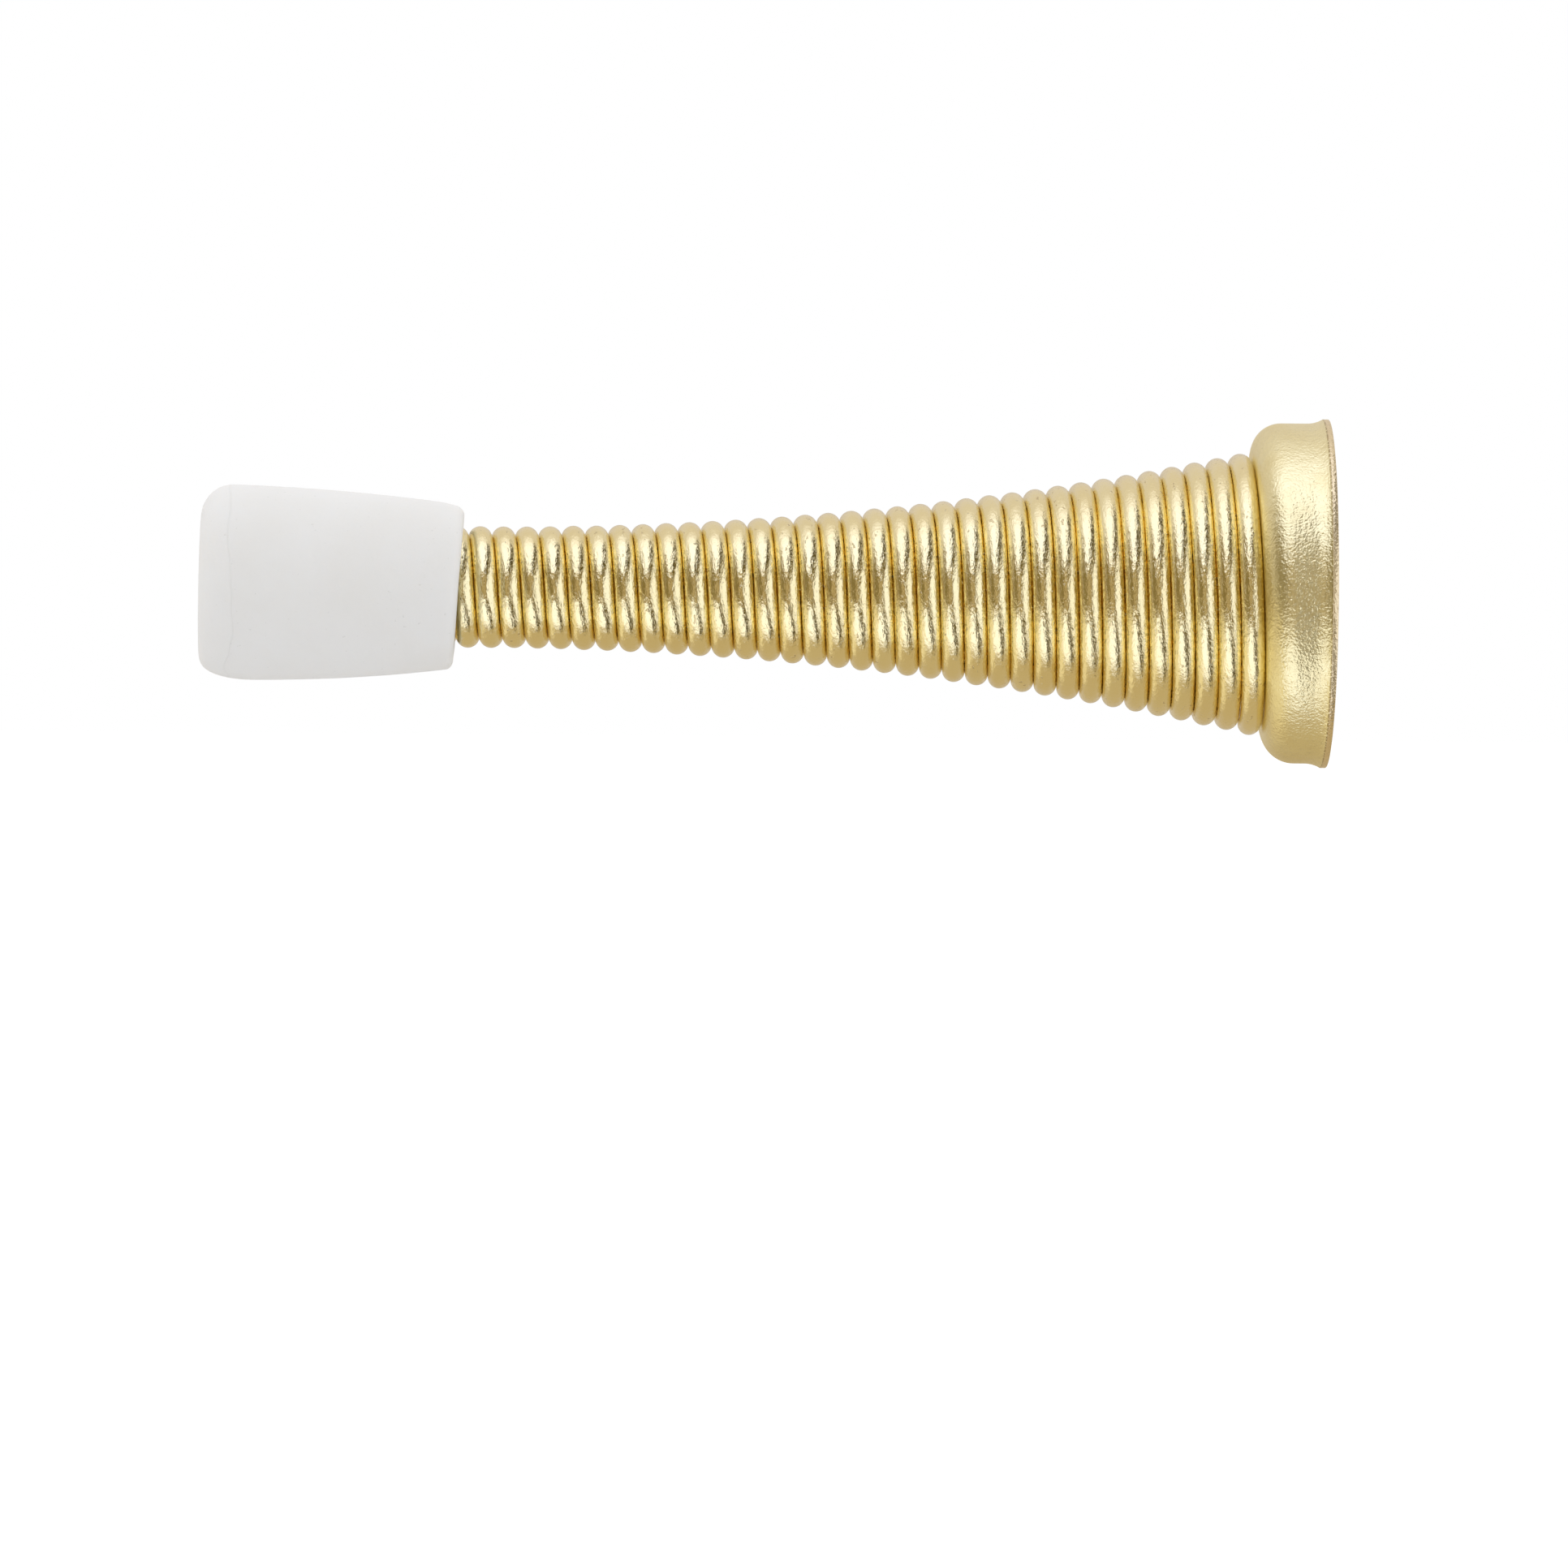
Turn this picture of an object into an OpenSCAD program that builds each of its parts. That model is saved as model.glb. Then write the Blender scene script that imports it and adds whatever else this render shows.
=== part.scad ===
// Spring door stop: a close-wound tapered spring on a drawn base cup, with a soft bumper cap on its tip.
// It is built standing on its wall face, with the axis up, and is then laid level as it is fixed:
// the wall plane is X = 0, the bumper points to -X, and +Z is up.

/* [Spring] */
// Diameter of the spring wire
wire_d = 1.57; // [1.2:0.01:1.8]
// Number of turns in the whole coil
turns = 40; // [36:1:44]
// Turns over which the coil narrows from the base to its straight tip
taper_turns = 33.5; // [28:0.5:36]
// Radius of the wire's centre line at the base end
coil_base_r = 8.95; // [8.2:0.05:9.6]
// Radius of the wire's centre line along the straight tip
coil_tip_r = 3.39; // [3:0.01:4]
// Hair gap left between neighbouring turns
turn_gap = 0.01; // [0.01:0.01:0.2]

/* [Bumper cap] */
// Length of the cap along its axis
cap_len = 17.68; // [15:0.01:22]
// Largest diameter, next to the striking face
cap_face_d = 13.33; // [12.6:0.01:16]
// Diameter at the mouth
cap_mouth_d = 11.36; // [11.2:0.01:12.4]
// How far the drafted side bows out between mouth and face
cap_side_bow = 0.2; // [0.05:0.05:0.5]
// Radius of the corner round the striking face
cap_face_round = 2.2; // [1:0.1:4]
// Radius of the mouth's outer edge
cap_mouth_round = 0.6; // [0.2:0.05:0.8]
// Depth of the socket that grips the spring
socket_depth = 9.7; // [6:0.1:12]
// Clearance between the socket and the spring
socket_clearance = 0.04; // [0.03:0.01:0.2]
// Tilt of the cap on the spring, tip end up, in degrees
cap_tilt = 0.8; // [0:0.1:1.5]
// Slant of the mouth's end plane, in degrees
mouth_slant = 4.2; // [0:0.1:5]

/* [Base cup] */
// Thickness of the drawn sheet
sheet_t = 0.6; // [0.4:0.05:0.9]
// Outer diameter of the cup's wall
cup_d = 23.3; // [22.6:0.1:27]
// Outer diameter of the flared lip that meets the wall
lip_d = 23.9; // [23.4:0.1:28]
// Length over which the lip flares
lip_len = 0.7; // [0.5:0.1:2]
// Height of the lip's trimmed edge, between the wall and the flare
lip_edge = 0.37; // [0.2:0.01:0.8]
// Height of the cup's face above the wall, on the axis
face_h = 4.83; // [4.4:0.01:6]
// Radius of the shoulder between wall and face
shoulder_r = 2.1; // [1:0.1:2.4]
// Height of the collar inside the spring, above the face
collar_h = 4.6; // [3:0.1:6]
// Clearance between the collar and the spring
collar_clearance = 0.12; // [0.08:0.01:0.3]
// Radius of the collar's top edge
collar_round = 0.9; // [0.7:0.1:1.5]
// Gap between the face and the last turn
seat_gap = 0.05; // [0.03:0.01:0.2]

/* [Fixing] */
// Diameter of the hole for the fixing screw
screw_hole_d = 4.5; // [3.5:0.1:5.5]

/* [Hidden] */
brass = [0.83, 0.66, 0.30];
brass_wire = [0.86, 0.68, 0.28];
white_rubber = [0.93, 0.92, 0.90];
$fn = 96;

// A body is put together at a thousandth of its size, so that rounding never opens a joint in it
shrink = 0.001;
// How far a cutting body reaches past what it cuts
past = 1;
// How far the lip and the cup above it reach into each other
overlap = 0.05;
// Step by which a round edge meets a drawn side, so that the two never merely touch
edge_step = 0.012;

// The coil, counted in half turns from its cut end at the bottom of the base
half_turns = 2 * turns;
pitch = wire_d + turn_gap;
function coil_r(i) =
    coil_tip_r + (coil_base_r - coil_tip_r) * pow(max(0, 1 - i / (2 * taper_turns)), 2);
// Slope of a half turn, taken from its pitch and its diameter
function coil_slope(i) = pitch / (4 * coil_r(i));
// Rise of one half turn: neighbours touch but for the hair gap, along the cone that they lie on
function coil_rise(i) =
    sqrt(pow(pitch, 2) * (1 + pow(coil_slope(i), 2)) - pow(coil_r(i) - coil_r(i + 2), 2)) / 2;
// Height of the first joint, which seats the last turn on the face
face_slope = coil_rise(0) / (coil_r(0) + coil_r(1));
seat_h = face_h + seat_gap + wire_d / 2 * sqrt(1 + pow(face_slope, 2));
start_h = seat_h - face_slope * coil_r(0);
heights = [for (i = 0, h = start_h; i <= half_turns; h = h + coil_rise(i), i = i + 1) h];
// Joint of two half turns: even ones lie at the bottom of the coil, odd ones at the top
function joint(i) = [(i % 2 == 0 ? -1 : 1) * coil_r(i), heights[i]];

tip_r = coil_tip_r + wire_d / 2;
socket_r = tip_r + socket_clearance;
tip_h = heights[half_turns] + wire_d / 2 + socket_clearance;
mouth_h = tip_h - socket_depth;
cap_face_r = cap_face_d / 2;
cap_mouth_r = cap_mouth_d / 2;
cap_side_h = cap_len - cap_face_round;
// The side is an arc from the mouth's rim to the face's corner; its centre lies square to their chord
cap_side_chord = [cap_face_r - cap_mouth_r, cap_side_h];
cap_side_r = (pow(norm(cap_side_chord), 2) / 4 + pow(cap_side_bow, 2)) / (2 * cap_side_bow);
cap_side_out = [cap_side_chord[1], -cap_side_chord[0]] / norm(cap_side_chord);
cap_side_centre =
    [cap_mouth_r, 0] + cap_side_chord / 2 - (cap_side_r - cap_side_bow) * cap_side_out;
// Slope of the side at the mouth
mouth_taper = cap_side_centre[1] / (cap_mouth_r - cap_side_centre[0]);
// A slanted mouth cuts the drafted side in a rim that lies this far off the cap's axis
mouth_shift = mouth_taper * cap_mouth_r * tan(mouth_slant - cap_tilt);

cup_r = cup_d / 2;
lip_r = lip_d / 2;
lip_top = lip_edge + lip_len;
// Inside radius of the spring at the face and at the top of the collar, less the clearance
collar_foot_r = coil_r(1) - wire_d / 2 - collar_clearance;
collar_turns = ceil(collar_h / coil_rise(0));
collar_top_r = coil_r(collar_turns) - wire_d / 2 - collar_clearance;

// Lays a body that stands on the wall face level, with its top to -X and its +X side up
module laid() {
    rotate([0, -90, 0]) children();
}

// One half turn of wire from joint to joint: an exact half ring in a plane that leans with the chord
module half_turn(from, to) {
    middle = (from + to) / 2;
    reach = (to[0] > from[0] ? to - from : from - to) / 2;
    near = to[0] > from[0];
    translate([middle[0], 0, middle[1]])
        rotate([0, -atan2(reach[1], reach[0]), 0])
            rotate_extrude(angle = 180, start = near ? 180 : 0)
                translate([norm(reach), 0]) circle(d = wire_d);
}

module spring() {
    color(brass_wire)
        laid()
            scale(1 / shrink)
                for (i = [0 : half_turns - 1])
                    scale(shrink) half_turn(joint(i), joint(i + 1));
}

// Section of the cap from its mouth to its face: a drafted side that bows out, with a rounded corner
module cap_section() {
    corner = cap_face_r - cap_face_round;
    intersection() {
        translate([0, -past]) square([cap_face_r + past, cap_side_h + past]);
        translate(cap_side_centre - [edge_step / 4, 0]) circle(r = cap_side_r, $fn = 8 * $fn);
    }
    translate([0, cap_side_h - edge_step]) square([corner, cap_face_round + edge_step]);
    translate([corner, cap_side_h]) circle(r = cap_face_round);
}

// Section of the body that trims the mouth: flat end, rounded edge, and clear of the cap above that
module mouth_section() {
    edge_r = cap_mouth_r + mouth_taper * cap_mouth_round - cap_mouth_round + edge_step;
    square([edge_r, cap_len + past]);
    translate([edge_r, cap_mouth_round]) circle(r = cap_mouth_round);
    translate([0, cap_mouth_round]) square([cap_face_r + past, cap_len + past]);
}

module bumper_cap() {
    color(white_rubber)
        laid()
            difference() {
                translate([0, 0, mouth_h])
                    intersection() {
                        rotate([0, cap_tilt, 0]) rotate_extrude() cap_section();
                        translate([-mouth_shift, 0, 0])
                            rotate([0, mouth_slant, 0]) rotate_extrude() mouth_section();
                    }
                translate([0, 0, mouth_h - past]) cylinder(r = socket_r, h = socket_depth + past);
            }
}

// Section of the cup's wall, shoulder and face as a solid, drawn in by a distance
module cup_section(inset) {
    round_r = shoulder_r - inset;
    side = cup_r - inset;
    top = face_h - inset;
    difference() {
        translate([0, -past]) square([side, top + past]);
        translate([side - round_r, top - round_r])
            difference() {
                square(round_r + past);
                circle(r = round_r);
            }
    }
}

// The same solid above the lip, sloped along the axis so that its face lies along the last turn
module cup_form(inset) {
    intersection() {
        multmatrix([[1, 0, 0, 0], [0, 1, 0, 0], [face_slope, 0, 1, 0], [0, 0, 0, 1]])
            rotate_extrude() cup_section(inset);
        translate([0, 0, lip_top - overlap]) cylinder(r = cup_r + past, h = face_h + past);
    }
}

// Section of the lip, drawn in by a distance: a trimmed edge at the wall, and a flare up to the cup
module lip_section(inset) {
    flare = (lip_r - cup_r) / lip_len;
    polygon([
        [0, -past],
        [lip_r - inset, -past],
        [lip_r - inset, lip_edge],
        [cup_r - inset - flare * overlap, lip_top + overlap],
        [0, lip_top + overlap],
    ]);
}

// Section of the collar's outer form, drawn in by a distance: a cone that fills the coil, with a round top
module collar_section(inset) {
    top = face_h + collar_h - inset;
    foot = collar_foot_r - inset;
    round_r = collar_round - inset;
    polygon([[0, 0], [foot, 0], [foot, face_h], [collar_top_r - inset, top - round_r], [0, top - round_r]]);
    translate([0, top - round_r - past]) square([collar_top_r - collar_round, round_r + past]);
    translate([collar_top_r - collar_round - edge_step, top - round_r]) circle(r = round_r);
}

module base_cup() {
    color(brass)
        laid()
            difference() {
                union() {
                    cup_form(0);
                    rotate_extrude() lip_section(0);
                    rotate_extrude() collar_section(0);
                }
                cup_form(sheet_t);
                rotate_extrude() lip_section(sheet_t);
                rotate_extrude() collar_section(sheet_t);
                translate([0, 0, -2 * past]) cylinder(r = lip_r + 2 * past, h = 2 * past);
                cylinder(d = screw_hole_d, h = face_h + collar_h + past);
            }
}

base_cup();
spring();
bumper_cap();
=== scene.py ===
# %% [markdown]
# A spring door stop is three things: a drawn brass cup that is screwed to the baseboard, one length of
# brass-plated wire wound into a tapered spring, and a soft white cap on its tip.
# The frame is the construction model of those three pieces, in metres and at their real size. Loading
# it first, and making every finish around it, means that nothing has to be moved or scaled later.

# %% Load the frame
import math

import bmesh
import bpy
from mathutils import Matrix, Vector, noise


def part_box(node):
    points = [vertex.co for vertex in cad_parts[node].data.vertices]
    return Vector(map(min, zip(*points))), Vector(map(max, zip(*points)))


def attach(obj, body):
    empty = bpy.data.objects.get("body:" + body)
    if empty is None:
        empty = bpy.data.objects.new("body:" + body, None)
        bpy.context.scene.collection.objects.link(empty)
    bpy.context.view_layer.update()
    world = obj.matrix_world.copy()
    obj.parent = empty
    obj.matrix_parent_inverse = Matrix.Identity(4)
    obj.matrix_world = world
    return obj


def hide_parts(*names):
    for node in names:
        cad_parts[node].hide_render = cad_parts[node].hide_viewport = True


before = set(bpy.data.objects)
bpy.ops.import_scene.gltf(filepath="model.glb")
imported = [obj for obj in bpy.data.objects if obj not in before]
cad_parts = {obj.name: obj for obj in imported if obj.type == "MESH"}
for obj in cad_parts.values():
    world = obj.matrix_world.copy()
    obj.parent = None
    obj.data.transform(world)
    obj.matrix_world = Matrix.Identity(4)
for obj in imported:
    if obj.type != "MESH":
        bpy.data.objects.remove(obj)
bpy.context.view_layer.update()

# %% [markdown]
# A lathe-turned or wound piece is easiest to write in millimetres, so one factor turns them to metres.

MM = 0.001

# %% [markdown]
# The picture was taken level with the stop, from about 0.8 m, with a long lens: the rim of the cup
# opens into a narrow ellipse, and the tip end shows none of its face.
# A camera could be placed by eye, but the size of the wire in the picture gives its scale. So the lens
# is worked out from 18 pixels to the millimetre at the stop's own distance.

# %% Camera
PICTURE_PX = 1932
PX_PER_MM = 18.0
SENSOR = 36.0
EYE = Vector((-56.9, -811.0, 0.0)) * MM
AIM = Vector((-37.1, 0.0, -13.32)) * MM
ROLL = math.radians(0.46)
NEAREST_SEEN = 10 * MM


def make_camera():
    """A level camera with a long lens, rolled a little, as the picture is."""
    data = bpy.data.cameras.new("camera")
    data.sensor_width = SENSOR
    data.lens = SENSOR * PX_PER_MM * -EYE.y / MM / PICTURE_PX
    data.clip_start = NEAREST_SEEN
    camera = bpy.data.objects.new("camera", data)
    turn = (AIM - EYE).to_track_quat("-Z", "Y").to_matrix() @ Matrix.Rotation(ROLL, 3, "Z")
    camera.matrix_world = Matrix.Translation(EYE) @ turn.to_4x4()
    bpy.context.scene.collection.objects.link(camera)
    bpy.context.scene.camera = camera
    print("lens, mm:", round(data.lens, 1))


make_camera()

# %% [markdown]
# Each mesh here is rows of points joined by faces: a wire is rows along its length, and a turned piece
# is rows round its axis. Blender could also sweep a curve or spin a profile with a modifier, but rows
# written in code leave every point where it can be bent, roughened or marked for its finish.

# %% A skin over rows of points
def skin(name, rows, closed_ends=False):
    """One mesh over closed rows of equally many points; the last row may join the first."""
    count = len(rows[0])
    points = [point for row in rows for point in row]
    faces = []
    last_row = len(rows) if closed_ends else len(rows) - 1
    for r in range(last_row):
        this = r * count
        following = (r + 1) % len(rows) * count
        for p in range(count):
            q = (p + 1) % count
            faces.append((this + p, this + q, following + q, following + p))
    mesh = bpy.data.meshes.new(name)
    mesh.from_pydata(points, [], faces)
    piece = bpy.data.objects.new(name, mesh)
    bpy.context.scene.collection.objects.link(piece)
    return piece


def close_end(piece, first, count, reverse=False):
    """Closes a row of points with one face."""
    work = bmesh.new()
    work.from_mesh(piece.data)
    work.verts.ensure_lookup_table()
    ring = [work.verts[first + i] for i in range(count)]
    work.faces.new(reversed(ring) if reverse else ring)
    work.to_mesh(piece.data)
    work.free()


def smooth(piece):
    """Rounds the shading and makes every face look outwards."""
    work = bmesh.new()
    work.from_mesh(piece.data)
    bmesh.ops.recalc_face_normals(work, faces=work.faces)
    work.to_mesh(piece.data)
    work.free()
    for face in piece.data.polygons:
        face.use_smooth = True
    print(piece.name, "faces:", len(piece.data.polygons))


# %% [markdown]
# The spring is wound on a tapered mandrel from one wire. Neighbouring turns touch, so one turn climbs
# by just enough to clear the last, measured along the cone that they lie on. The construction model
# builds it from half rings. Here it is a true helix with the same radii, swept point by point.

# %% The law of the coil
WIRE_D = 1.57 * MM
TURN_GAP = 0.01 * MM
TURNS = 40
TAPER_TURNS = 33.5
COIL_BASE_R = 8.95 * MM
COIL_TIP_R = 3.39 * MM
PITCH = WIRE_D + TURN_GAP


def coil_radius(turn):
    """Radius of the wire's centre line, counted in turns from the base."""
    return COIL_TIP_R + (COIL_BASE_R - COIL_TIP_R) * max(0, 1 - turn / TAPER_TURNS) ** 2


def coil_climb(turn):
    """How far the coil climbs in one whole turn from here."""
    lean = PITCH / (4 * coil_radius(turn))
    step = coil_radius(turn) - coil_radius(turn + 1)
    return math.sqrt(PITCH**2 * (1 + lean**2) - step**2)


print("first and last turn climb, mm:", [round(coil_climb(turn) / MM, 3) for turn in (0, TURNS - 1)])

# %% [markdown]
# The helix starts at the bottom of the coil, beside the cup, and passes up the near side.
# No wire lies perfectly: a turn stands out or in by a few hundredths of a millimetre. A slow noise
# draws the turns in a little, which never opens or closes the gap between them by much. The first turns
# are pressed flat onto the cup's sloped face, so they climb as leaning half rings do. The turns after
# them settle into an even helix bit by bit, so that no gap opens between one turn and the next.

# %% The centre line of the wire
STEPS_PER_TURN = 72
UNEVEN = 0.05 * MM
UNEVEN_PER_TURN = 0.9
UNEVEN_PLACE = (7.3, 1.9)
HALF_CLIMB = coil_climb(0) / 2
PRESSED_TURNS = 2
SETTLING_TURNS = 6


def pressed(turn):
    """How far a point lies off an even helix, where the turns are pressed onto the cup."""
    part = 2 * turn % 1
    off = HALF_CLIMB * ((1 - math.cos(math.pi * part)) / 2 - part)
    return off * min(1, max(0, 1 - (turn - PRESSED_TURNS) / SETTLING_TURNS))


def centre_line():
    """Points along the middle of the wire, with the coil's own axis on X."""
    points = []
    height = 0.0
    for step in range(TURNS * STEPS_PER_TURN + 1):
        turn = step / STEPS_PER_TURN
        angle = math.tau * turn
        uneven = noise.noise(Vector((turn * UNEVEN_PER_TURN, *UNEVEN_PLACE)))
        radius = coil_radius(turn) - UNEVEN * (1 + uneven) / 2
        x = -height - pressed(turn)
        points.append(Vector((x, -radius * math.sin(angle), -radius * math.cos(angle))))
        height += coil_climb(turn) / STEPS_PER_TURN
    low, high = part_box("spring")
    middle = (low.x + high.x) / 2
    shift = Vector((middle - (points[0].x + points[-1].x) / 2, 0, 0))
    return [point + shift for point in points]


wire_points = centre_line()
print("coil, mm:", round((wire_points[0].x - wire_points[-1].x) / MM, 2))

# %% [markdown]
# Each point of the line gets a ring of points square to it. The wire's drawn streaks run along it, so
# each point also remembers where it lay on the straight wire, before coiling. A pattern that reads
# those places follows the wire round every turn, with no seam. The construction model keeps a hair gap
# between turns. Here the wire is thicker by that hair, so the turns touch and no light shows through.

# %% Wind the wire
WIRE_SIDES = 32
TOUCH_R = PITCH / 2
END_ROUND = 0.18 * MM
END_PARTS = (0.5, 1.0)
END_CLOSED = 0.9


def wire_ring(points, i, radius, slide=0.0):
    """A ring of points round the wire, with the first one facing the coil's axis."""
    ahead = points[min(i + 1, len(points) - 1)] - points[max(i - 1, 0)]
    ahead.normalize()
    outwards = Vector((0, points[i].y, points[i].z))
    outwards = (outwards - ahead * outwards.dot(ahead)).normalized()
    across = ahead.cross(outwards)
    ring = []
    for side in range(WIRE_SIDES):
        a = math.tau * side / WIRE_SIDES
        ring.append(points[i] + ahead * slide - (outwards * math.cos(a) + across * math.sin(a)) * radius)
    return ring


def remember_straight_wire(wire, lengths):
    """Gives each point its place on the straight wire, in mm, with the wire's length on Z."""
    place = wire.data.attributes.new("straight_wire", "FLOAT_VECTOR", "POINT")
    for r in range(len(lengths)):
        for side in range(WIRE_SIDES):
            a = math.tau * side / WIRE_SIDES
            flat = (WIRE_D / 2 * math.cos(a), WIRE_D / 2 * math.sin(a), lengths[r])
            place.data[r * WIRE_SIDES + side].vector = [value / MM for value in flat]


def wind_wire():
    """The whole spring, with its two cut ends a little rounded, and its straight-wire places."""
    rings = []
    lengths = []
    run = 0.0
    for i in range(len(wire_points)):
        if i > 0:
            run += (wire_points[i] - wire_points[i - 1]).length
        rings.append(wire_ring(wire_points, i, TOUCH_R))
        lengths.append(run)
    last = len(wire_points) - 1
    for part in END_PARTS:
        less = END_ROUND * (1 - math.sqrt(1 - (part * END_CLOSED) ** 2))
        rings.insert(0, wire_ring(wire_points, 0, TOUCH_R - less, -END_ROUND * part))
        lengths.insert(0, -END_ROUND * part)
        rings.append(wire_ring(wire_points, last, TOUCH_R - less, END_ROUND * part))
        lengths.append(run + END_ROUND * part)
    wire = skin("spring_wire", rings)
    close_end(wire, 0, WIRE_SIDES, reverse=True)
    close_end(wire, (len(rings) - 1) * WIRE_SIDES, WIRE_SIDES)
    smooth(wire)
    remember_straight_wire(wire, lengths)
    print("wire, mm:", round(run / MM))
    return wire


spring_wire = wind_wire()

# %% [markdown]
# A finish is a small network of nodes. These helpers add a node, set its numbers and join it up in one
# call, so that a finish below reads as a list of what the surface has on it.

# %% Helpers for finishes
def new_finish(name):
    """An empty material with its shader, ready for nodes."""
    finish = bpy.data.materials.new(name)
    finish.use_nodes = True
    return finish, finish.node_tree.nodes["Principled BSDF"]


def put(tree, kind, links=None, settings=None, **sockets):
    """Adds a node; links joins sockets to other nodes' outputs, and sockets sets plain numbers."""
    node = tree.nodes.new(kind)
    for key, value in (settings or {}).items():
        setattr(node, key, value)
    for key, value in sockets.items():
        node.inputs[key.replace("_", " ")].default_value = value
    for key, output in (links or {}).items():
        tree.links.new(output, node.inputs[key])
    return node


def stretch(tree, place, amounts):
    """The same places, drawn out or pressed together along each axis."""
    node = put(tree, "ShaderNodeVectorMath", {0: place}, {"operation": "MULTIPLY"})
    node.inputs[1].default_value = amounts
    return node.outputs["Vector"]


def place_in_mm(tree):
    """A point's place in the stop's own frame, in mm."""
    return stretch(tree, put(tree, "ShaderNodeTexCoord").outputs["Object"], (1 / MM, 1 / MM, 1 / MM))


def grain(tree, place, per_mm, detail, roughness):
    """A soft noise from 0 to 1."""
    numbers = {"Scale": per_mm, "Detail": detail, "Roughness": roughness}
    return put(tree, "ShaderNodeTexNoise", {"Vector": place}, **numbers).outputs["Fac"]


def between(tree, value, low, high, out_low=0.0, out_high=1.0):
    """Turns a value that runs from low to high into one that runs from out_low to out_high."""
    node = put(tree, "ShaderNodeMapRange", {"Value": value}, {"interpolation_type": "SMOOTHSTEP"})
    node.inputs["From Min"].default_value = low
    node.inputs["From Max"].default_value = high
    node.inputs["To Min"].default_value = out_low
    node.inputs["To Max"].default_value = out_high
    return node.outputs["Result"]


def blend_colours(tree, factor, first, second):
    """A mix of two colours, each a colour or another node's output."""
    node = put(tree, "ShaderNodeMix", {0: factor}, {"data_type": "RGBA"})
    for socket, colour in ((node.inputs[6], first), (node.inputs[7], second)):
        if isinstance(colour, tuple):
            socket.default_value = colour
        else:
            tree.links.new(colour, socket)
    return node.outputs[2]


def reckon(tree, operation, first, second):
    """One sum: the second value may be a number or another node's output."""
    node = put(tree, "ShaderNodeMath", {0: first}, {"operation": operation})
    if isinstance(second, (int, float)):
        node.inputs[1].default_value = second
    else:
        tree.links.new(second, node.inputs[1])
    return node.outputs[0]


def sum_of(tree, first, second):
    """Adds two values."""
    return reckon(tree, "ADD", first, second)


def product(tree, first, second):
    """Multiplies two values."""
    return reckon(tree, "MULTIPLY", first, second)


def span(tree, value, low, high, low_edge, high_edge):
    """1 between low and high, with soft edges, and 0 outside."""
    rise = between(tree, value, low - low_edge, low + low_edge)
    fall = between(tree, value, high - high_edge, high + high_edge, 1.0, 0.0)
    return product(tree, rise, fall)


def relief(tree, height, depth, under=None):
    """Raises and lowers the surface's shading by a height from 0 to 1, over a depth in metres."""
    node = put(tree, "ShaderNodeBump", {"Height": height}, Distance=depth)
    if under is not None:
        tree.links.new(under, node.inputs["Normal"])
    return node.outputs["Normal"]


# %% [markdown]
# The wire is bright drawn brass. The die leaves fine streaks along it, and winding leaves faint waves
# and a few bruises, which break the edges of its long highlights. A metal has no diffuse colour: its
# base colour is the tint of its reflections, so a pale tint and a low, uneven roughness make it.
# An image of scratched metal would be quicker, but noise on the straight wire follows every turn.

# %% Finish of the wire
WIRE_TINT = (0.915, 0.81, 0.46, 1)
WIRE_TINT_WARM = (0.895, 0.77, 0.41, 1)
BRUISE_TINT = (0.62, 0.48, 0.24, 1)
BRUISE_TINTED = 0.6
BRUISE_ROUGHNESS = 0.2
WIRE_ROUGHNESS = (0.06, 0.13)

# Marks for each mm of wire, the share of that along it, and the noise's detail and roughness
STREAKS = (7.0, 0.05, 3.0, 0.5)
WAVES = (1.3, 0.5, 2.0, 0.5)
PITS = (5.0, 0.6, 3.0, 0.6)
PATCHES = (0.5, 0.2, 2.0, 0.5)
BRUISES = (3.1, 0.7, 2.0, 0.5)

# Where a noise starts and ends to tell
PIT_SPAN = (0.3, 0.7)
PATCH_SPAN = (0.3, 0.75)
BRUISE_SPAN = (0.69, 0.74)

STREAK_DEPTH = 0.003 * MM
WAVE_DEPTH = 0.05 * MM
PIT_DEPTH = 0.05 * MM
BRUISE_DEPTH = 0.03 * MM


def marks_on_wire(tree, place, per_mm, along, detail, roughness):
    """A noise on the straight wire, drawn out along it."""
    return grain(tree, stretch(tree, place, (1, 1, along)), per_mm, detail, roughness)


def wire_finish():
    """Bright drawn brass wire."""
    finish, shader = new_finish("drawn_brass_wire")
    tree = finish.node_tree
    place = put(tree, "ShaderNodeAttribute", settings={"attribute_name": "straight_wire"}).outputs["Vector"]
    streaks = marks_on_wire(tree, place, *STREAKS)
    waves = marks_on_wire(tree, place, *WAVES)
    pits = marks_on_wire(tree, place, *PITS)
    patches = marks_on_wire(tree, place, *PATCHES)
    bruises = between(tree, marks_on_wire(tree, place, *BRUISES), *BRUISE_SPAN)
    tint = blend_colours(tree, between(tree, patches, *PATCH_SPAN), WIRE_TINT, WIRE_TINT_WARM)
    tint = blend_colours(tree, product(tree, bruises, BRUISE_TINTED), tint, BRUISE_TINT)
    tree.links.new(tint, shader.inputs["Base Color"])
    shader.inputs["Metallic"].default_value = 1.0
    rough = between(tree, pits, *PIT_SPAN, *WIRE_ROUGHNESS)
    rough = sum_of(tree, rough, product(tree, bruises, BRUISE_ROUGHNESS))
    tree.links.new(rough, shader.inputs["Roughness"])
    normal = relief(tree, waves, WAVE_DEPTH)
    normal = relief(tree, pits, PIT_DEPTH, normal)
    normal = relief(tree, streaks, STREAK_DEPTH, normal)
    normal = relief(tree, bruises, BRUISE_DEPTH, normal)
    tree.links.new(normal, shader.inputs["Normal"])
    return finish


spring_wire.data.materials.append(wire_finish())
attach(spring_wire, "root")
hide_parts("spring")

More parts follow.
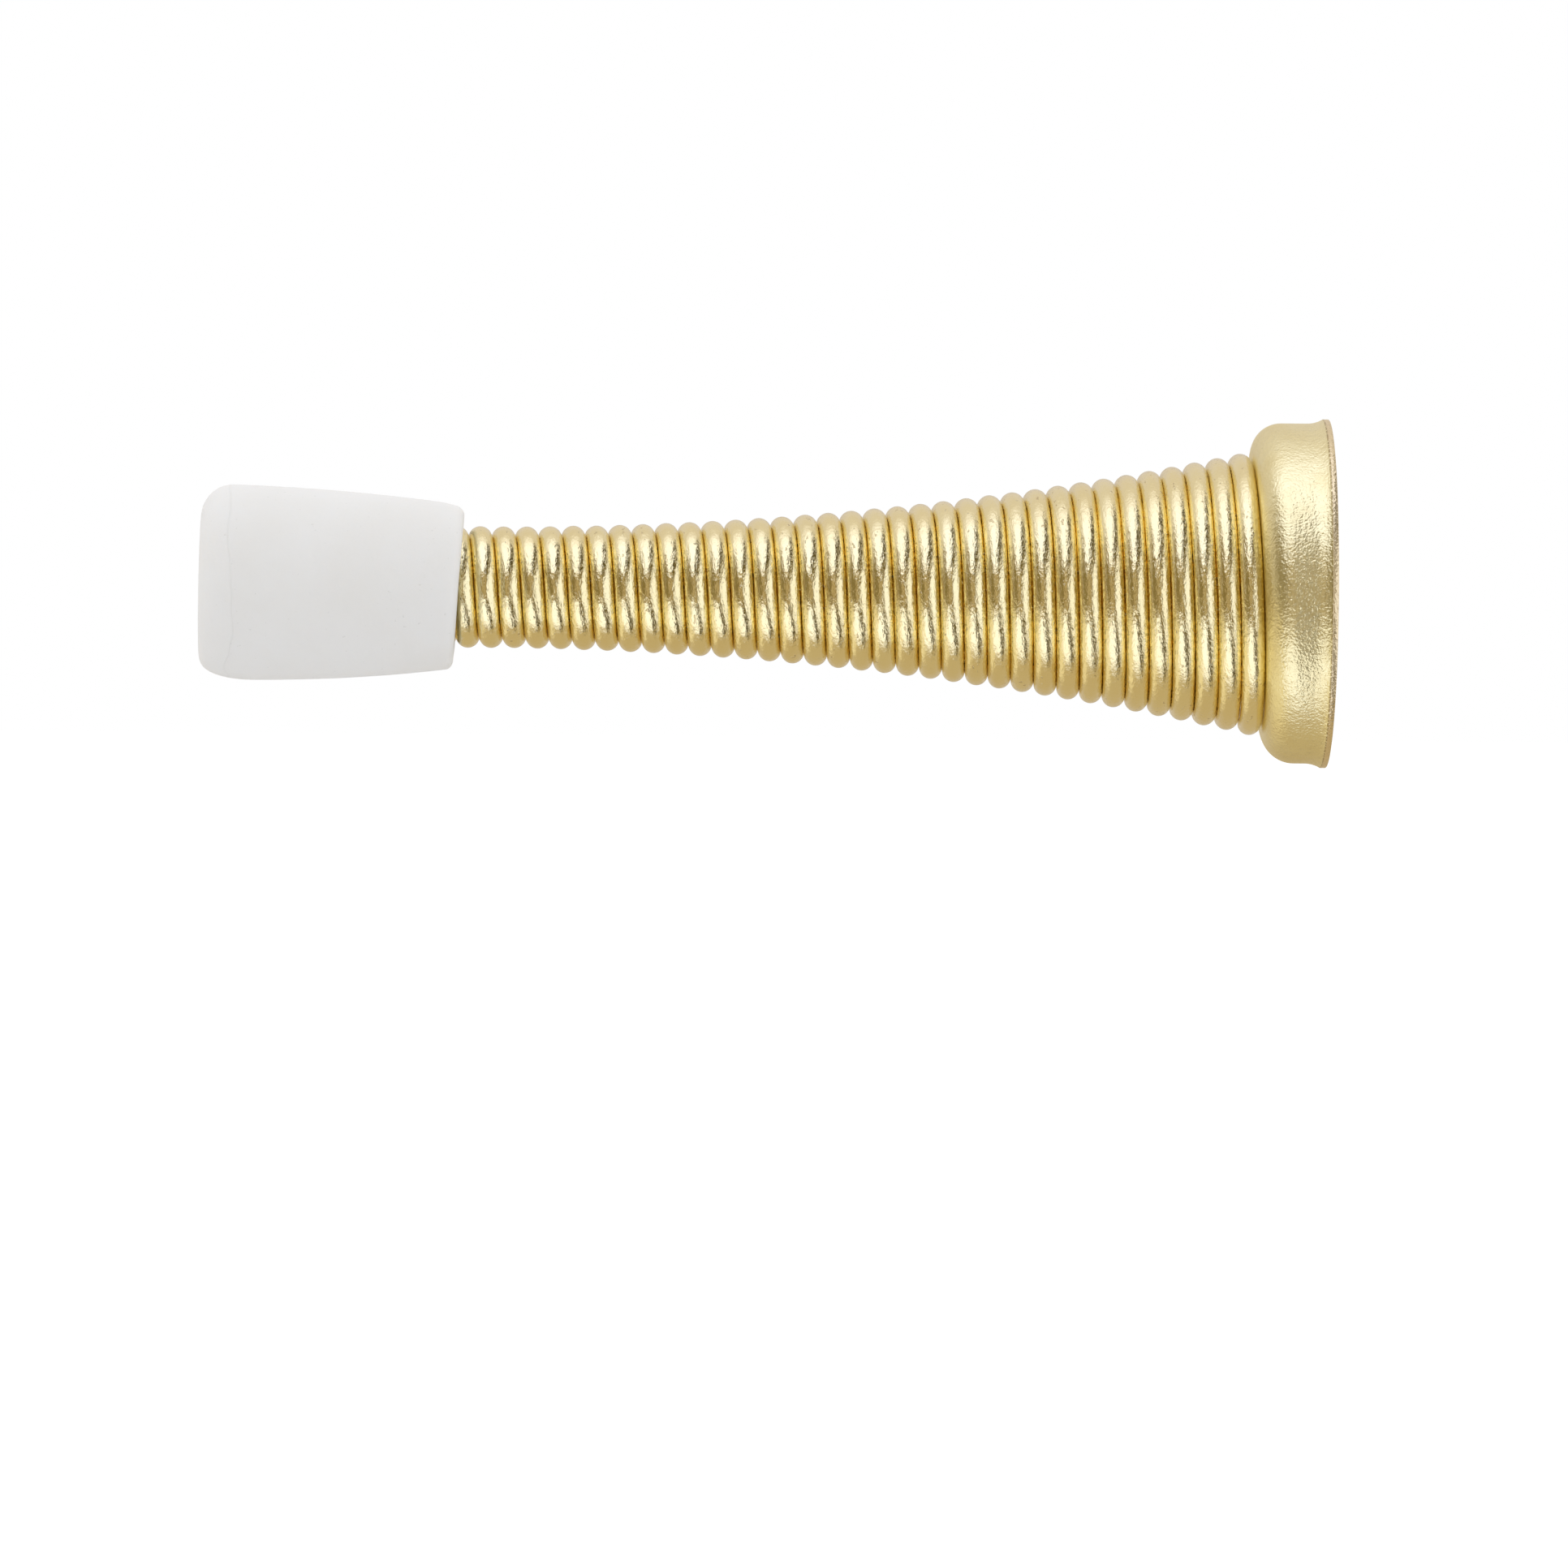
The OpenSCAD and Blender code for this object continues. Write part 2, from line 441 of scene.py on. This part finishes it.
# %% [markdown]
# The cup and the cap are round pieces, so each is an outline carried round the stop's axis. A modifier
# could spin it, but the cup's face slopes and the cap's mouth slants, so a rule places each point.

# %% Turn a round piece
ROUND_SIDES = 288


def carried_round(outline, place):
    """A ring of points for each point of an outline; place says where it lies at an angle."""
    angles = [math.tau * side / ROUND_SIDES for side in range(ROUND_SIDES)]
    return [[place(point, angle) for angle in angles] for point in outline]


def turned(name, rows, open_ends):
    """A turned piece over rings of points, which is closed with a face at each open end."""
    piece = skin(name, rows, closed_ends=not open_ends)
    if open_ends:
        close_end(piece, 0, ROUND_SIDES, reverse=True)
        close_end(piece, (len(rows) - 1) * ROUND_SIDES, ROUND_SIDES)
    smooth(piece)
    return piece


def arc(centre, radius, start, end, steps):
    """Points on an arc, as radius from the axis and height; the angles are in degrees."""
    points = []
    for step in range(steps + 1):
        a = math.radians(start + (end - start) * step / steps)
        points.append((centre[0] + radius * math.cos(a), centre[1] + radius * math.sin(a)))
    return points


# %% [markdown]
# A punch draws the cup from a round blank: straight wall, round shoulder, and a face that slopes with
# the last turn of the coil. The rim was trimmed, which leaves a short straight edge below the flare.
# The construction model's flare is a cone. Here it is one curve, so no line shows where it starts.
# Both sides of the sheet are in the outline, so the cup is as hollow from behind as the real one.

# %% Draw the cup
SHEET_T = 0.6 * MM
WALL_R = 11.65 * MM
LIP_R = -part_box("base_cup")[0].z
CUT_EDGE = 0.37 * MM
CUT_CORNER = 0.03 * MM
FLARE_H = 1.5 * MM
FLARE_POWER = 2.2
FLARE_STEPS = 12
FACE_H = 4.83 * MM
FACE_SLOPE = 0.0436
SHOULDER_R = 2.1 * MM
SHOULDER_STEPS = 16
COLLAR_H = 9.43 * MM
COLLAR_FOOT_R = 7.88 * MM
COLLAR_TOP_R = 7.09 * MM
COLLAR_ROUND = 0.9 * MM
COLLAR_STEPS = 10
SCREW_HOLE_R = 2.25 * MM
TORN = 0.03 * MM
TORN_FINENESS = 60
TORN_PLACE = 0.3


def cup_side(inset):
    """One side of the sheet from rim to screw hole: radius, height, and its share of the slope."""
    lip = LIP_R - inset
    wall = WALL_R - inset
    rim = [(lip - CUT_CORNER, 0), (lip, CUT_CORNER), (lip, CUT_EDGE - CUT_CORNER), (lip, CUT_EDGE)]
    flare = []
    for step in range(1, FLARE_STEPS + 1):
        part = step / FLARE_STEPS
        out = wall + (lip - wall) * (1 - part) ** FLARE_POWER
        flare.append((out, CUT_EDGE + (FLARE_H - CUT_EDGE) * part))
    shoulder_at = (WALL_R - SHOULDER_R, FACE_H - SHOULDER_R)
    face = arc(shoulder_at, SHOULDER_R - inset, 0, 90, SHOULDER_STEPS)
    face.append((COLLAR_FOOT_R - inset, FACE_H - inset))
    collar_at = (COLLAR_TOP_R - COLLAR_ROUND, COLLAR_H - COLLAR_ROUND)
    collar = arc(collar_at, COLLAR_ROUND - inset, 0, 90, COLLAR_STEPS)
    collar.append((SCREW_HOLE_R, COLLAR_H - inset))
    level = [(radius, height, 0.0) for radius, height in rim + flare]
    sloped = [(radius, height, 1.0) for radius, height in face]
    return level + sloped + [(radius, height, 0.0) for radius, height in collar]


def in_cup(point, angle):
    """Where a point of the cup lies: the face slopes, and the trimmed edge is slightly torn."""
    radius, height, slope_share = point
    up = radius * math.sin(angle)
    torn = 0.0
    if abs(height - CUT_EDGE) < CUT_CORNER / 2:
        way = Vector((math.cos(angle), math.sin(angle), TORN_PLACE))
        torn = TORN * noise.noise(way * TORN_FINENESS)
    return Vector((-(height + torn + slope_share * FACE_SLOPE * up), radius * math.cos(angle), up))


cup_rows = carried_round(cup_side(0) + cup_side(SHEET_T)[::-1], in_cup)
turned_cup = turned("drawn_cup", cup_rows, open_ends=False)
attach(turned_cup, "root")
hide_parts("base_cup")

# %% [markdown]
# The cup is drawn from thin sheet. Drawing leaves the skin slightly pebbled, so its shine is satin and
# mottled, with the soft light and dark of the room still readable in it. Pebbles alone would look like
# leather, so broad shallow dents lie under them, and clouds of duller plating lie over both.
# Shears left a dark, nicked line just inside the trimmed edge.

# %% Finish of the drawn sheet
SHEET_TINT = (0.905, 0.815, 0.465, 1)
SHEET_TINT_DULL = (0.855, 0.745, 0.39, 1)
CUT_TINT = (0.84, 0.70, 0.42, 1)
NICK_TINT = (0.42, 0.30, 0.12, 1)
NICK_TINTED = 0.8
SHEET_ROUGHNESS = (0.28, 0.36)

# Marks for each mm of sheet, and the noise's detail and roughness
PEBBLES = (6.0, 1.5, 0.5)
DENTS = (1.8, 2.0, 0.5)
CLOUDS = (0.24, 3.0, 0.55)
NICKS = (3.6, 2.0, 0.5)
NICKS_ACROSS = 0.8

CLOUD_SPAN = (0.35, 0.7)
CLOUD_ROUGH_SPAN = (0.3, 0.75)
NICK_SPAN = (0.36, 0.52)
NICK_LINE = (-0.44, -0.36, 0.02, 0.03)
CUT_FADE = 0.02

PEBBLE_DEPTH = 0.049 * MM
DENT_DEPTH = 0.048 * MM
NICK_DEPTH = 0.03 * MM


def round_the_axis(tree, place):
    """A point's place along the stop, and how far round the lip it lies, in mm."""
    axes = put(tree, "ShaderNodeSeparateXYZ", {0: place})
    x, y, z = axes.outputs
    angle = put(tree, "ShaderNodeMath", {0: y, 1: z}, {"operation": "ARCTAN2"}).outputs[0]
    round_lip = product(tree, angle, LIP_R / MM)
    return x, put(tree, "ShaderNodeCombineXYZ", {0: x, 1: round_lip}).outputs[0]


def sheet_finish():
    """Satin brass sheet, pebbled by drawing, with a torn line where its rim was trimmed."""
    finish, shader = new_finish("drawn_brass_sheet")
    tree = finish.node_tree
    place = place_in_mm(tree)
    x, rolled_out = round_the_axis(tree, place)
    pebbles = grain(tree, place, *PEBBLES)
    dents = grain(tree, place, *DENTS)
    clouds = grain(tree, place, *CLOUDS)
    cut = between(tree, x, -CUT_EDGE / MM - CUT_FADE, -CUT_EDGE / MM + CUT_FADE)
    torn = grain(tree, stretch(tree, rolled_out, (NICKS_ACROSS, 1, 1)), *NICKS)
    nicks = product(tree, between(tree, torn, *NICK_SPAN), span(tree, x, *NICK_LINE))
    tint = blend_colours(tree, between(tree, clouds, *CLOUD_SPAN), SHEET_TINT, SHEET_TINT_DULL)
    tint = blend_colours(tree, cut, tint, CUT_TINT)
    tint = blend_colours(tree, product(tree, nicks, NICK_TINTED), tint, NICK_TINT)
    tree.links.new(tint, shader.inputs["Base Color"])
    shader.inputs["Metallic"].default_value = 1.0
    rough = between(tree, clouds, *CLOUD_ROUGH_SPAN, *SHEET_ROUGHNESS)
    tree.links.new(rough, shader.inputs["Roughness"])
    normal = relief(tree, pebbles, PEBBLE_DEPTH)
    normal = relief(tree, dents, DENT_DEPTH, normal)
    normal = relief(tree, nicks, NICK_DEPTH, normal)
    tree.links.new(normal, shader.inputs["Normal"])
    return finish


turned_cup.data.materials.append(sheet_finish())

# %% [markdown]
# The cap is moulded, with a drafted side that bows out a little, and pressed on by hand: it tilts up
# toward its tip, and its mouth slants and bends in at the top. The lower corner of its face is drawn
# out longer than the upper, and squarer. The construction model has one round corner all the way
# round. Here its length varies round the face.

# %% Mould the cap
FACE_R = 6.665 * MM
MOUTH_R = 5.68 * MM
SOCKET_R = 4.215 * MM
SOCKET_DEPTH = 9.7 * MM
SIDE_BOW = 0.2 * MM
SIDE_STEPS = 24
CORNER_R = 2.2 * MM
CORNER_DRAWN = 1.4 * MM
CORNER_SQUARED = 0.45
CORNER_STEPS = 14
MOUTH_ROUND = 0.6 * MM
MOUTH_STEPS = 8
MOUTH_BENT = 0.22 * MM
MOUTH_BENT_H = 1.7 * MM
MOUTH_BENT_POWER = 1.5
MOUTH_SLANT = math.tan(math.radians(3.4))
MOUTH_SLANT_POWER = 4
CAP_LEN = 17.68 * MM
CAP_TILT = math.radians(0.8)
FACE_HOLE = 0.02 * MM

cap_mouth_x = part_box("bumper_cap")[0].x + CAP_LEN * math.cos(CAP_TILT)
cap_mouth_x += (FACE_R - CORNER_R) * math.sin(CAP_TILT)
print("cap's mouth, mm from the wall:", round(-cap_mouth_x / MM, 2))


def cap_skin():
    """The outside of the cap from its mouth to the middle of its face: radius and height."""
    side_h = CAP_LEN - CORNER_R
    points = arc((MOUTH_R - MOUTH_ROUND, MOUTH_ROUND), MOUTH_ROUND, -90, 0, MOUTH_STEPS)
    for step in range(1, SIDE_STEPS + 1):
        part = step / SIDE_STEPS
        height = MOUTH_ROUND + (side_h - MOUTH_ROUND) * part
        bow = SIDE_BOW * (1 - (2 * part - 1) ** 2)
        points.append((MOUTH_R + (FACE_R - MOUTH_R) * part + bow, height))
    points += arc((FACE_R - CORNER_R, side_h), CORNER_R, 0, 90, CORNER_STEPS)[1:]
    return points + [(FACE_R / 2, CAP_LEN), (FACE_HOLE, CAP_LEN)]


def slanted(radius, height, angle, over):
    """A height near the mouth, slanted up or down with the mouth; the slant fades out over a length."""
    near_mouth = max(0.0, 1 - height / over) ** MOUTH_SLANT_POWER
    return height - MOUTH_SLANT * radius * math.sin(angle) * near_mouth


def in_cap(point, angle):
    """Where a point of the outside lies: bent and slanted at the mouth, drawn out below, and tilted."""
    radius, height = point
    upward = math.sin(angle)
    bent = max(0.0, 1 - height / MOUTH_BENT_H) ** MOUTH_BENT_POWER
    radius -= MOUTH_BENT * max(0.0, upward) * bent
    height = slanted(radius, height, angle, CAP_LEN)
    start = CAP_LEN - CORNER_R
    drawn = CORNER_DRAWN * max(0.0, -upward)
    if height > start:
        height = CAP_LEN - (CAP_LEN - height) * (CORNER_R + drawn) / CORNER_R
        share = max(0.0, (radius - FACE_R + CORNER_R) / CORNER_R)
        squarer = share ** (1 - CORNER_SQUARED * max(0.0, -upward))
        radius += (squarer - share) * CORNER_R
    elif height > 0:
        height *= (start - drawn) / start
    out = Vector((-height, radius * math.cos(angle), radius * upward))
    return Matrix.Rotation(CAP_TILT, 3, "Y") @ out + Vector((cap_mouth_x, 0, 0))


def in_socket(point, angle):
    """Where a point of the socket lies: square to the spring, and slanted at the mouth."""
    radius, height = point
    height = slanted(radius, height, angle, SOCKET_DEPTH)
    return Vector((cap_mouth_x - height, radius * math.cos(angle), radius * math.sin(angle)))


socket = [(FACE_HOLE, SOCKET_DEPTH), (SOCKET_R, SOCKET_DEPTH), (SOCKET_R, 0.0)]
cap_rows = carried_round(socket, in_socket) + carried_round(cap_skin(), in_cap)
moulded_cap = turned("moulded_cap", cap_rows, open_ends=True)
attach(moulded_cap, "root")
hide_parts("bumper_cap")

# %% [markdown]
# The cap is soft moulded rubber or plastic, white and slightly see-through near its skin. Light enters
# it and comes out again close by, which subsurface scattering shows as a softer, paler white.
# A plain white would look like paper, so the skin has faint clouds, specks and fine grain, and the
# line where the mould parts runs round it near the face, wandering a little.

# %% Finish of the cap
CAP_WHITE = (0.78, 0.78, 0.78, 1)
CAP_CREAM = (0.765, 0.76, 0.75, 1)
CAP_SPECK = (0.62, 0.62, 0.61, 1)
CAP_ROUGHNESS = 0.6
SEEN_INTO = 0.3
SEEN_INTO_DEPTH = 1.2 * MM
SEEN_INTO_COLOURS = (1.0, 0.9, 0.8)

# Marks for each mm of skin, and the noise's detail and roughness
CAP_CLOUDS = (0.16, 3.0, 0.5)
CAP_GRAIN = (5.0, 4.0, 0.6)
CAP_SPECKS = (4.2, 1.0, 0.5)
CAP_WANDER = (0.12, 2.0, 0.5)

SPECK_SPAN = (0.74, 0.79)
SPECK_TINTED = 0.5
WANDER_SPAN = (0.2, 0.8)
PARTING_FROM_FACE = 2.2
PARTING_WIDTH = 0.12
PARTING_WANDER = 0.5
PARTING_TINTED = 0.3
GRAIN_DEPTH = 0.02 * MM
PARTING_DEPTH = 0.02 * MM


def parting_line(tree, place):
    """1 on the line where the mould parts, and 0 beside it."""
    x = put(tree, "ShaderNodeSeparateXYZ", {0: place}).outputs[0]
    wander = between(tree, grain(tree, place, *CAP_WANDER), *WANDER_SPAN, -PARTING_WANDER, PARTING_WANDER)
    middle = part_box("bumper_cap")[0].x / MM + PARTING_FROM_FACE
    half = PARTING_WIDTH / 2
    return span(tree, sum_of(tree, x, wander), middle - half, middle + half, half, half)


def cap_finish():
    """Matt white moulded rubber, with the line where its mould parts."""
    finish, shader = new_finish("white_rubber")
    tree = finish.node_tree
    place = place_in_mm(tree)
    clouds = grain(tree, place, *CAP_CLOUDS)
    skin_grain = grain(tree, place, *CAP_GRAIN)
    specks = between(tree, grain(tree, place, *CAP_SPECKS), *SPECK_SPAN)
    line = parting_line(tree, place)
    tint = blend_colours(tree, between(tree, clouds, *CLOUD_SPAN), CAP_WHITE, CAP_CREAM)
    tint = blend_colours(tree, product(tree, specks, SPECK_TINTED), tint, CAP_SPECK)
    faint_line = product(tree, product(tree, line, clouds), PARTING_TINTED)
    tint = blend_colours(tree, faint_line, tint, CAP_SPECK)
    tree.links.new(tint, shader.inputs["Base Color"])
    shader.inputs["Roughness"].default_value = CAP_ROUGHNESS
    shader.inputs["Subsurface Weight"].default_value = SEEN_INTO
    shader.inputs["Subsurface Radius"].default_value = SEEN_INTO_COLOURS
    shader.inputs["Subsurface Scale"].default_value = SEEN_INTO_DEPTH
    normal = relief(tree, skin_grain, GRAIN_DEPTH)
    normal = relief(tree, line, PARTING_DEPTH, normal)
    tree.links.new(normal, shader.inputs["Normal"])
    return finish


moulded_cap.data.materials.append(cap_finish())

# %% [markdown]
# The stop is photographed on white. The floor under it is pale and matt, and to the camera it is lit a
# little from within, so that it comes out white but still keeps the stop's soft shadow.
# More light would make it white too, but the same light would wash out the cap.

# %% Floor
FLOOR_DROP = 60 * MM
FLOOR_SIDE = 8.0
FLOOR_PALE = (0.8, 0.8, 0.8, 1)
FLOOR_SHADED = (0.34, 0.34, 0.34, 1)
FLOOR_GLOW = 0.72


def mix_shaders(tree, factor, first, second):
    """One shader where the factor is 0, and another where it is 1."""
    return put(tree, "ShaderNodeMixShader", {0: factor, 1: first, 2: second}).outputs[0]


def make_floor():
    """A wide pale floor, white to the camera, with the shadow kept."""
    half = FLOOR_SIDE / 2
    mesh = bpy.data.meshes.new("floor")
    corners = [(-half, -half), (half, -half), (half, half), (-half, half)]
    mesh.from_pydata([(x, y, -FLOOR_DROP) for x, y in corners], [], [(0, 1, 2, 3)])
    floor = bpy.data.objects.new("floor", mesh)
    bpy.context.scene.collection.objects.link(floor)
    finish = bpy.data.materials.new("floor")
    finish.use_nodes = True
    tree = finish.node_tree
    tree.nodes.clear()
    plain = put(tree, "ShaderNodeBsdfDiffuse", Color=FLOOR_PALE)
    shaded = put(tree, "ShaderNodeBsdfDiffuse", Color=FLOOR_SHADED)
    glow = put(tree, "ShaderNodeEmission", Strength=FLOOR_GLOW)
    white = put(tree, "ShaderNodeAddShader", {0: shaded.outputs[0], 1: glow.outputs[0]})
    by_camera = put(tree, "ShaderNodeLightPath").outputs["Is Camera Ray"]
    seen = mix_shaders(tree, by_camera, plain.outputs[0], white.outputs[0])
    put(tree, "ShaderNodeOutputMaterial", {0: seen})
    mesh.materials.append(finish)
    floor.visible_glossy = False
    print("floor, mm below the stop's axis:", round(FLOOR_DROP / MM))


make_floor()

# %% [markdown]
# Metal shows the room. The picture's wire shows a dim studio toward the camera, broken by a long panel
# of light above, one below, one to the right and a weaker one at the lower left, and the pale backdrop
# behind. Dark gaps beside the panels above and below draw the dark line down each turn.
# Lamps could stand in for the panels, but the world can hold them all at a distance, so that each turn
# shows them alike. A panel is a stretch of directions: how far across and how deep it reaches, each
# measured against the side that it faces, as a window is measured from a spot in the room.

# %% The room as the metal sees it
BACKDROP_LOW = (0.57, 0.47, 0.31, 1)
BACKDROP_HIGH = (0.77, 0.715, 0.69, 1)
BACKDROP_SPAN = (-0.6, 0.6)
DIM_FRONT = (0.25, 0.19, 0.085, 1)
DIM_SPAN = (-0.15, 0.35)
BEHIND_CAMERA = (0.58, 0.47, 0.31, 1)
GAP_LIGHT = (0.06, 0.045, 0.012, 1)
PANEL_ABOVE = (1.34, 1.38, 1.75, 1)
PANEL_BELOW = (1.32, 1.35, 1.60, 1)
PANEL_RIGHT = (1.15, 1.17, 1.36, 1)
PANEL_LEFT = (0.92, 0.82, 0.62, 1)
PANEL_SKEW = 0.45
SKEWED_FROM = 0.5
FACING_FADE = 0.05

# For each window its reach across, and then its depth: from, to, and the softness of the two edges
BEHIND_CAMERA_SPANS = ((-0.56, -0.1, 0.12, 0.12), (-0.45, 0.5, 0.2, 0.2))
GAP_ABOVE_SPANS = ((0.50, 1.02, 0.06, 0.12), (-1.9, 0.35, 0.3, 0.2))
GAP_BELOW_SPANS = ((0.33, 0.80, 0.06, 0.12), (-2.0, 0.05, 0.3, 0.2))
ABOVE_SPANS = ((-0.95, 0.43, 0.3, 0.07), (-2.15, 0.2, 0.2, 0.45))
BELOW_SPANS = ((-1.2, 0.29, 0.3, 0.07), (-2.05, -0.12, 0.2, 0.25))
RIGHT_SPANS = ((-1.0, 0.7, 0.2, 0.2), (-3.9, 0.2, 0.4, 0.5))
LEFT_BELOW_SPANS = ((-0.5, 1.2, 0.3, 0.3), (-1.6, -0.25, 0.3, 0.15))


def window(tree, facing, across, deep, spans):
    """A four-sided stretch of the room on one side, seen along facing: 1 inside it and 0 outside."""
    across_span, deep_span = spans
    wide = span(tree, reckon(tree, "DIVIDE", across, facing), *across_span)
    depth = span(tree, reckon(tree, "DIVIDE", deep, facing), *deep_span)
    return product(tree, product(tree, wide, depth), between(tree, facing, 0.0, FACING_FADE))


def skewed(tree, x, nearer, facing):
    """The way across, turned a little toward the camera where a panel comes near it."""
    past = sum_of(tree, nearer, product(tree, facing, -SKEWED_FROM))
    return sum_of(tree, x, product(tree, reckon(tree, "MAXIMUM", past, 0.0), PANEL_SKEW))


def studio_room(tree, x, y, z):
    """The colour of the room in each direction, from the backdrop up to the panels."""
    nearer = product(tree, y, -1.0)
    left = product(tree, x, -1.0)
    down = product(tree, z, -1.0)
    x_above = skewed(tree, x, nearer, z)
    x_below = skewed(tree, x, nearer, down)
    room = blend_colours(tree, between(tree, z, *BACKDROP_SPAN), BACKDROP_LOW, BACKDROP_HIGH)
    room = blend_colours(tree, between(tree, nearer, *DIM_SPAN), room, DIM_FRONT)
    for patch, colour in (
        (window(tree, nearer, x, z, BEHIND_CAMERA_SPANS), BEHIND_CAMERA),
        (window(tree, left, y, z, LEFT_BELOW_SPANS), PANEL_LEFT),
        (window(tree, x, z, y, RIGHT_SPANS), PANEL_RIGHT),
        (window(tree, z, x_above, y, GAP_ABOVE_SPANS), GAP_LIGHT),
        (window(tree, down, x_below, y, GAP_BELOW_SPANS), GAP_LIGHT),
        (window(tree, z, x_above, y, ABOVE_SPANS), PANEL_ABOVE),
        (window(tree, down, x_below, y, BELOW_SPANS), PANEL_BELOW),
    ):
        room = blend_colours(tree, patch, room, colour)
    return room


# %% [markdown]
# The matt cap doesn't mirror the room. It gathers light from all sides, and a plain, even light shows
# its own white. So the world is split by the kind of ray: what mirrors sees the studio, what is matt
# gets the soft light, and the camera sees plain white behind the stop.

# %% The light, and the white behind the stop
SOFT_ABOVE = (1.20, 1.20, 1.20, 1)
SOFT_BELOW = (1.17, 1.10, 1.00, 1)
SOFT_FRONT = (0.95, 0.94, 0.925, 1)
SOFT_SPAN = (-0.8, 0.8)
SOFT_FRONT_SPAN = (0.0, 0.8)


def soft_light(tree, y, z):
    """The even light on what is matt: brightest above, warmer below, and weaker from the front."""
    soft = blend_colours(tree, between(tree, z, *SOFT_SPAN), SOFT_BELOW, SOFT_ABOVE)
    nearer = product(tree, y, -1.0)
    return blend_colours(tree, between(tree, nearer, *SOFT_FRONT_SPAN), soft, SOFT_FRONT)


def make_world():
    """The world: white to the camera, the studio to what mirrors, and soft light to the rest."""
    world = bpy.data.worlds.new("studio")
    bpy.context.scene.world = world
    world.use_nodes = True
    tree = world.node_tree
    tree.nodes.clear()
    way = put(tree, "ShaderNodeTexCoord").outputs["Generated"]
    x, y, z = put(tree, "ShaderNodeSeparateXYZ", {0: way}).outputs
    ray = put(tree, "ShaderNodeLightPath")
    mirrored = ray.outputs["Is Glossy Ray"]
    lit = blend_colours(tree, mirrored, soft_light(tree, y, z), studio_room(tree, x, y, z))
    studio = put(tree, "ShaderNodeBackground", {"Color": lit}, Strength=1.0)
    white = put(tree, "ShaderNodeBackground", Color=(1, 1, 1, 1), Strength=1.0)
    seen = mix_shaders(tree, ray.outputs["Is Camera Ray"], studio.outputs[0], white.outputs[0])
    put(tree, "ShaderNodeOutputWorld", {0: seen})
    print("world nodes:", len(tree.nodes))


make_world()

# %% [markdown]
# The Standard view leaves colours as they are written. Light bounces many times in the groove between
# two turns, so more bounces than usual are followed, and the groove stays golden.

# %% Finish
GROOVE_BOUNCES = 10

bpy.context.scene.view_settings.view_transform = "Standard"
bpy.context.scene.cycles.glossy_bounces = GROOVE_BOUNCES
